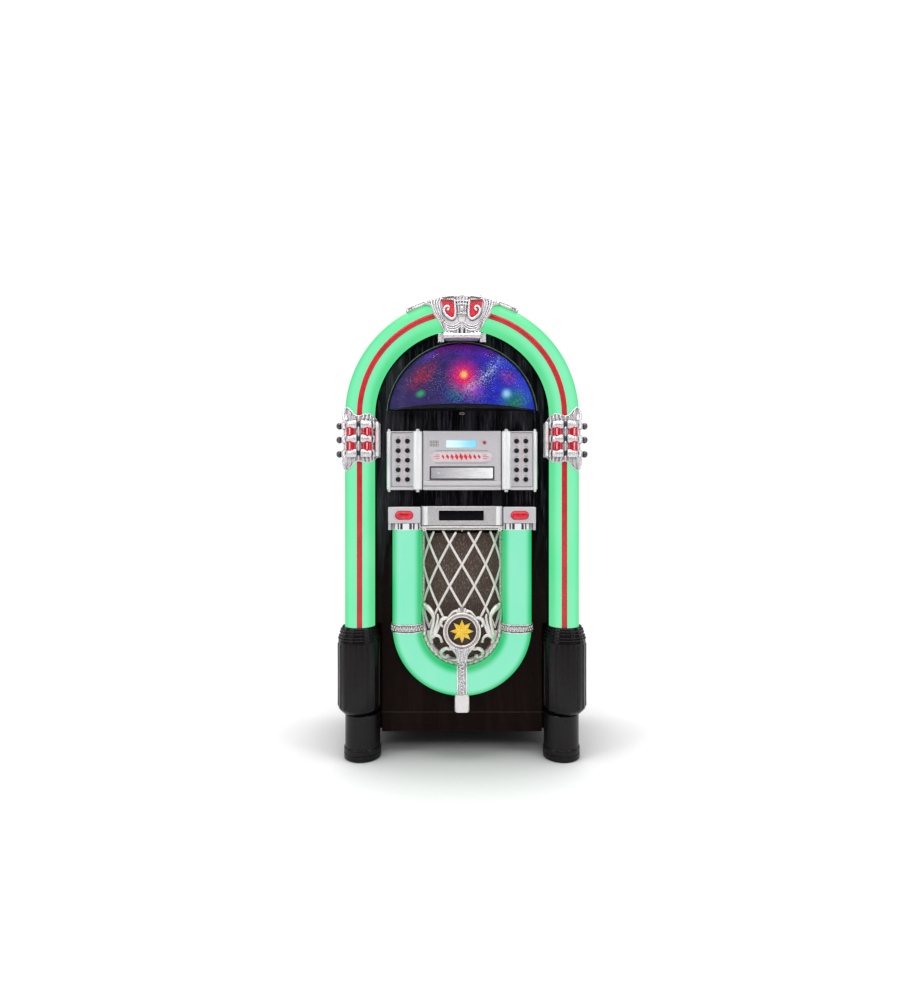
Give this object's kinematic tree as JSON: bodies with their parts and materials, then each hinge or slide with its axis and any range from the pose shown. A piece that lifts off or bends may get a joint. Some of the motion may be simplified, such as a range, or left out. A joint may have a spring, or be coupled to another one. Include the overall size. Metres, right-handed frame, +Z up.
{
  "type": "jukebox",
  "caption": "Full-size arched jukebox with glowing tubes, chrome castings, a dome window, a CD player with push buttons, and a latticed speaker grille on round legs.",
  "frame": {"origin": "on the floor, under the middle of the object's box", "axes": "+Z up; the front faces -Y; +X is to the right as seen from the front"},
  "size_m": [0.583, 0.32, 1.072],
  "materials": {
    "black_wood": "black-stained wood grain, satin",
    "green_tube": "translucent tube lit green from inside",
    "red_stripe": "red moulded strip",
    "chrome": "bright plated casting",
    "red_lens": "red translucent lens",
    "satin_silver": "satin silver paint",
    "grey_steel": "plain sheet steel",
    "black_plastic": "black moulded plastic",
    "boot_plastic": "black satin plastic",
    "display_blue": "lit pale blue display",
    "window_plastic": "clear moulded window over a holographic picture",
    "picture_foil": "holographic foil lit by small lamps",
    "brown_cloth": "woven speaker cloth",
    "yellow_star": "yellow moulded star"
  },
  "bodies": {
    "cabinet": {"cabinet_shell": "black_wood", "bottom_board": "black_wood", "front_panel": "black_wood", "back_panel": "black_wood", "arch_tube": "green_tube", "left_column_tube": "green_tube", "right_column_tube": "green_tube", "tube_stripe": "red_stripe", "crown": "chrome", "crown_lens": "red_lens", "left_clamp": "chrome", "right_clamp": "chrome", "left_clamp_lens": "red_lens", "right_clamp_lens": "red_lens", "cd_fascia": "satin_silver", "left_keypad": "satin_silver", "right_keypad": "satin_silver", "cd_drive": "grey_steel", "display_window": "display_blue", "header": "chrome", "left_header_lens": "red_lens", "right_header_lens": "red_lens", "lower_tube": "green_tube", "speaker_grille": "chrome", "grille_cloth": "brown_cloth", "grille_star": "yellow_star", "left_boot": "boot_plastic", "right_boot": "boot_plastic", "left_leg": "boot_plastic", "right_leg": "boot_plastic", "left_rear_foot": "boot_plastic", "right_rear_foot": "boot_plastic", "dome_window": "window_plastic", "light_backdrop": "picture_foil", "speaker": "black_plastic", "amplifier": "grey_steel", "rear_plate": "grey_steel"},
    "cd_tray": {"cd_tray": "satin_silver"},
    "cd_spindle": {"cd_spindle": "black_plastic"},
    "power_switch": {"power_switch": "black_plastic"},
    "left_button_a1": {"left_button_a1": "black_plastic"},
    "left_button_a2": {"left_button_a2": "black_plastic"},
    "left_button_a3": {"left_button_a3": "black_plastic"},
    "left_button_a4": {"left_button_a4": "black_plastic"},
    "left_button_a5": {"left_button_a5": "black_plastic"},
    "left_button_b1": {"left_button_b1": "black_plastic"},
    "left_button_b2": {"left_button_b2": "black_plastic"},
    "left_button_b3": {"left_button_b3": "black_plastic"},
    "left_button_b4": {"left_button_b4": "black_plastic"},
    "left_button_b5": {"left_button_b5": "black_plastic"},
    "right_button_a1": {"right_button_a1": "black_plastic"},
    "right_button_a2": {"right_button_a2": "black_plastic"},
    "right_button_a3": {"right_button_a3": "black_plastic"},
    "right_button_a4": {"right_button_a4": "black_plastic"},
    "right_button_a5": {"right_button_a5": "black_plastic"},
    "right_button_b1": {"right_button_b1": "black_plastic"},
    "right_button_b2": {"right_button_b2": "black_plastic"},
    "right_button_b3": {"right_button_b3": "black_plastic"},
    "right_button_b4": {"right_button_b4": "black_plastic"},
    "right_button_b5": {"right_button_b5": "black_plastic"}
  },
  "joints": [
    {"name": "cd_tray_slide", "type": "slide", "parent": "cabinet", "child": "cd_tray", "axis": [0, -1, 0], "range_m": [0, 0.135]},
    {"name": "cd_spindle_spin", "type": "hinge", "parent": "cabinet", "child": "cd_spindle", "pos_m": [0, -0.03, 0.6415], "axis": [0, 0, 1], "continuous": true},
    {"name": "power_switch_rock", "type": "hinge", "parent": "cabinet", "child": "power_switch", "pos_m": [0.04, 0.156, 0.29], "axis": [1, 0, 0], "range_deg": [-8, 8]},
    {"name": "left_button_a1_press", "type": "slide", "parent": "cabinet", "child": "left_button_a1", "axis": [0, 1, 0], "range_m": [0, 0.0015], "stiffness_N_per_m": 300},
    {"name": "left_button_a2_press", "type": "slide", "parent": "cabinet", "child": "left_button_a2", "axis": [0, 1, 0], "range_m": [0, 0.0015], "stiffness_N_per_m": 300},
    {"name": "left_button_a3_press", "type": "slide", "parent": "cabinet", "child": "left_button_a3", "axis": [0, 1, 0], "range_m": [0, 0.0015], "stiffness_N_per_m": 300},
    {"name": "left_button_a4_press", "type": "slide", "parent": "cabinet", "child": "left_button_a4", "axis": [0, 1, 0], "range_m": [0, 0.0015], "stiffness_N_per_m": 300},
    {"name": "left_button_a5_press", "type": "slide", "parent": "cabinet", "child": "left_button_a5", "axis": [0, 1, 0], "range_m": [0, 0.0015], "stiffness_N_per_m": 300},
    {"name": "left_button_b1_press", "type": "slide", "parent": "cabinet", "child": "left_button_b1", "axis": [0, 1, 0], "range_m": [0, 0.0015], "stiffness_N_per_m": 300},
    {"name": "left_button_b2_press", "type": "slide", "parent": "cabinet", "child": "left_button_b2", "axis": [0, 1, 0], "range_m": [0, 0.0015], "stiffness_N_per_m": 300},
    {"name": "left_button_b3_press", "type": "slide", "parent": "cabinet", "child": "left_button_b3", "axis": [0, 1, 0], "range_m": [0, 0.0015], "stiffness_N_per_m": 300},
    {"name": "left_button_b4_press", "type": "slide", "parent": "cabinet", "child": "left_button_b4", "axis": [0, 1, 0], "range_m": [0, 0.0015], "stiffness_N_per_m": 300},
    {"name": "left_button_b5_press", "type": "slide", "parent": "cabinet", "child": "left_button_b5", "axis": [0, 1, 0], "range_m": [0, 0.0015], "stiffness_N_per_m": 300},
    {"name": "right_button_a1_press", "type": "slide", "parent": "cabinet", "child": "right_button_a1", "axis": [0, 1, 0], "range_m": [0, 0.0015], "stiffness_N_per_m": 300},
    {"name": "right_button_a2_press", "type": "slide", "parent": "cabinet", "child": "right_button_a2", "axis": [0, 1, 0], "range_m": [0, 0.0015], "stiffness_N_per_m": 300},
    {"name": "right_button_a3_press", "type": "slide", "parent": "cabinet", "child": "right_button_a3", "axis": [0, 1, 0], "range_m": [0, 0.0015], "stiffness_N_per_m": 300},
    {"name": "right_button_a4_press", "type": "slide", "parent": "cabinet", "child": "right_button_a4", "axis": [0, 1, 0], "range_m": [0, 0.0015], "stiffness_N_per_m": 300},
    {"name": "right_button_a5_press", "type": "slide", "parent": "cabinet", "child": "right_button_a5", "axis": [0, 1, 0], "range_m": [0, 0.0015], "stiffness_N_per_m": 300},
    {"name": "right_button_b1_press", "type": "slide", "parent": "cabinet", "child": "right_button_b1", "axis": [0, 1, 0], "range_m": [0, 0.0015], "stiffness_N_per_m": 300},
    {"name": "right_button_b2_press", "type": "slide", "parent": "cabinet", "child": "right_button_b2", "axis": [0, 1, 0], "range_m": [0, 0.0015], "stiffness_N_per_m": 300},
    {"name": "right_button_b3_press", "type": "slide", "parent": "cabinet", "child": "right_button_b3", "axis": [0, 1, 0], "range_m": [0, 0.0015], "stiffness_N_per_m": 300},
    {"name": "right_button_b4_press", "type": "slide", "parent": "cabinet", "child": "right_button_b4", "axis": [0, 1, 0], "range_m": [0, 0.0015], "stiffness_N_per_m": 300},
    {"name": "right_button_b5_press", "type": "slide", "parent": "cabinet", "child": "right_button_b5", "axis": [0, 1, 0], "range_m": [0, 0.0015], "stiffness_N_per_m": 300}
  ]
}
